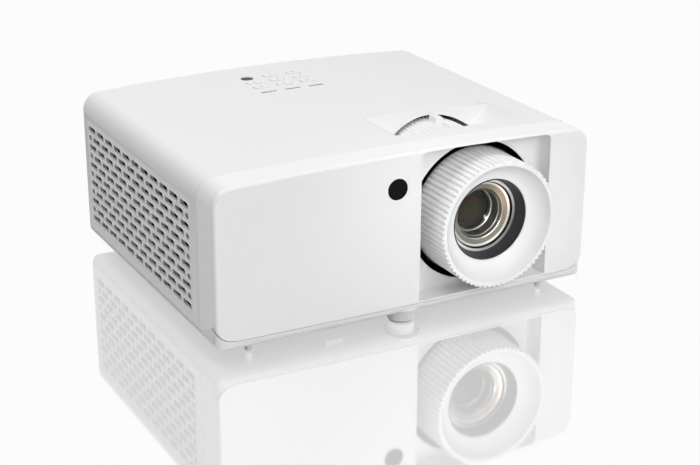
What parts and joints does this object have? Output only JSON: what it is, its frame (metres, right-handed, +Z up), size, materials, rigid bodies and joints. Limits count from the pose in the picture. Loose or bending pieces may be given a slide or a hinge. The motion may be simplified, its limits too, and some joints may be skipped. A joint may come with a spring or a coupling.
{
  "type": "home projector",
  "caption": "White home projector with a bowed front, ribbed focus ring in a square lens well, zoom ring in a finger scoop, slotted side grilles and adjustable feet",
  "frame": {"origin": "on the floor, under the middle of the bounding box", "axes": "+X to the right seen from the front, +Y from the lens to the rear panel, +Z up"},
  "size_m": [0.274, 0.2558, 0.1195],
  "materials": {
    "casing_white": "fine textured white moulding",
    "bezel_white": "smooth white moulding",
    "ring_white": "satin white moulding",
    "foam_black": "open-cell foam",
    "black_plastic": "matt black moulding",
    "gloss_black": "gloss black, lets infra-red through",
    "panel_grey": "matt dark grey moulding",
    "glass_front": "coated lens glass",
    "glass_inner": "coated lens glass",
    "bright_metal": "turned aluminium",
    "cast_metal": "as cast",
    "sink_metal": "extruded fins",
    "wheel_metal": "polished disc with a phosphor coat",
    "steel": "bright zinc-plated steel",
    "brass": "plain brass",
    "rubber": "soft matt rubber",
    "board_green": "printed circuit board",
    "parts_grey": "moulded components",
    "key_grey": "pale keycaps",
    "clear_light": "clear light bars",
    "knob_grey": "grey knurled moulding",
    "paper_cone": "pressed paper"
  },
  "bodies": {
    "chassis": {"bottom_cover": "casing_white", "front_bezel": "bezel_white", "top_cover": "casing_white", "left_grille": "casing_white", "right_grille": "casing_white", "dust_filter": "foam_black", "rear_panel": "panel_grey", "lens_well": "bezel_white", "lens_seal": "foam_black", "lens_barrel": "black_plastic", "keypad_board": "board_green", "indicator_lights": "clear_light", "top_window": "gloss_black", "front_window": "gloss_black", "mount_inserts": "brass", "cover_screws": "steel", "lan_socket": "steel", "hdmi_sockets": "steel", "usb_socket": "steel", "sound_jacks": "black_plastic", "power_inlet": "black_plastic", "inlet_pins": "brass", "main_board": "board_green", "power_board": "board_green", "power_parts": "parts_grey", "light_engine": "cast_metal", "laser_module": "cast_metal", "laser_heat_sink": "sink_metal", "wheel_motor": "steel", "chip_board": "board_green", "chip_heat_sink": "sink_metal", "intake_fan_frame": "black_plastic", "exhaust_fan_frame": "black_plastic", "speaker_box": "black_plastic", "speaker_cone": "paper_cone"},
    "focus_ring_body": {"focus_ring": "ring_white"},
    "front_cell_body": {"front_cell": "black_plastic", "front_glass": "glass_front", "lens_spacers": "bright_metal", "inner_glass": "glass_inner"},
    "zoom_ring_body": {"zoom_ring": "ring_white"},
    "zoom_cell_body": {"zoom_cell": "black_plastic", "zoom_glass": "glass_front"},
    "wheel_body": {"phosphor_wheel": "wheel_metal"},
    "intake_rotor_body": {"intake_fan_rotor": "black_plastic"},
    "exhaust_rotor_body": {"exhaust_fan_rotor": "black_plastic"},
    "front_foot_body": {"front_foot": "knob_grey", "front_foot_pad": "rubber"},
    "rear_foot_left_body": {"rear_foot_left": "knob_grey", "rear_foot_left_pad": "rubber"},
    "rear_foot_right_body": {"rear_foot_right": "knob_grey", "rear_foot_right_pad": "rubber"},
    "key_up_body": {"key_up": "key_grey"},
    "key_menu_body": {"key_menu": "key_grey"},
    "key_left_body": {"key_left": "key_grey"},
    "key_enter_body": {"key_enter": "key_grey"},
    "key_right_body": {"key_right": "key_grey"},
    "key_power_body": {"key_power": "key_grey"},
    "key_down_body": {"key_down": "key_grey"},
    "key_source_body": {"key_source": "key_grey"}
  },
  "joints": [
    {"name": "focus_turn", "type": "hinge", "parent": "chassis", "child": "focus_ring_body", "pos_m": [0.0559, -0.11165, 0.0659], "axis": [0, 1, 0], "range_deg": [-40, 40]},
    {"name": "front_cell_slide", "type": "slide", "parent": "chassis", "child": "front_cell_body", "axis": [0, 1, 0], "range_m": [-0.0015, 0.0015]},
    {"name": "zoom_turn", "type": "hinge", "parent": "chassis", "child": "zoom_ring_body", "pos_m": [0.0559, -0.07695, 0.0659], "axis": [0, 1, 0], "range_deg": [-20, 20]},
    {"name": "zoom_cell_slide", "type": "slide", "parent": "chassis", "child": "zoom_cell_body", "axis": [0, 1, 0], "range_m": [-0.004, 0.004]},
    {"name": "wheel_spin", "type": "hinge", "parent": "chassis", "child": "wheel_body", "pos_m": [0.0049, 0.02715, 0.08], "axis": [1, 0, 0], "continuous": true},
    {"name": "intake_spin", "type": "hinge", "parent": "chassis", "child": "intake_rotor_body", "pos_m": [-0.118, 0.02, 0.05], "axis": [1, 0, 0], "continuous": true},
    {"name": "exhaust_spin", "type": "hinge", "parent": "chassis", "child": "exhaust_rotor_body", "pos_m": [0.118, 0.02, 0.05], "axis": [1, 0, 0], "continuous": true},
    {"name": "front_foot_screw", "type": "slide", "parent": "chassis", "child": "front_foot_body", "axis": [0, 0, -1], "range_m": [0, 0.012]},
    {"name": "rear_foot_left_screw", "type": "slide", "parent": "chassis", "child": "rear_foot_left_body", "axis": [0, 0, -1], "range_m": [0, 0.012]},
    {"name": "rear_foot_right_screw", "type": "slide", "parent": "chassis", "child": "rear_foot_right_body", "axis": [0, 0, -1], "range_m": [0, 0.012]},
    {"name": "key_up_press", "type": "slide", "parent": "chassis", "child": "key_up_body", "axis": [0, 0, -1], "range_m": [0, 0.0008], "stiffness_N_per_m": 300, "springref_m": -0.001},
    {"name": "key_menu_press", "type": "slide", "parent": "chassis", "child": "key_menu_body", "axis": [0, 0, -1], "range_m": [0, 0.0008], "stiffness_N_per_m": 300, "springref_m": -0.001},
    {"name": "key_left_press", "type": "slide", "parent": "chassis", "child": "key_left_body", "axis": [0, 0, -1], "range_m": [0, 0.0008], "stiffness_N_per_m": 300, "springref_m": -0.001},
    {"name": "key_enter_press", "type": "slide", "parent": "chassis", "child": "key_enter_body", "axis": [0, 0, -1], "range_m": [0, 0.0008], "stiffness_N_per_m": 300, "springref_m": -0.001},
    {"name": "key_right_press", "type": "slide", "parent": "chassis", "child": "key_right_body", "axis": [0, 0, -1], "range_m": [0, 0.0008], "stiffness_N_per_m": 300, "springref_m": -0.001},
    {"name": "key_power_press", "type": "slide", "parent": "chassis", "child": "key_power_body", "axis": [0, 0, -1], "range_m": [0, 0.0008], "stiffness_N_per_m": 300, "springref_m": -0.001},
    {"name": "key_down_press", "type": "slide", "parent": "chassis", "child": "key_down_body", "axis": [0, 0, -1], "range_m": [0, 0.0008], "stiffness_N_per_m": 300, "springref_m": -0.001},
    {"name": "key_source_press", "type": "slide", "parent": "chassis", "child": "key_source_body", "axis": [0, 0, -1], "range_m": [0, 0.0008], "stiffness_N_per_m": 300, "springref_m": -0.001}
  ],
  "couplings": [
    {"joint": "front_cell_slide", "follows": "focus_turn", "m_per_rad": 0.0020053},
    {"joint": "zoom_cell_slide", "follows": "zoom_turn", "m_per_rad": 0.010886}
  ]
}
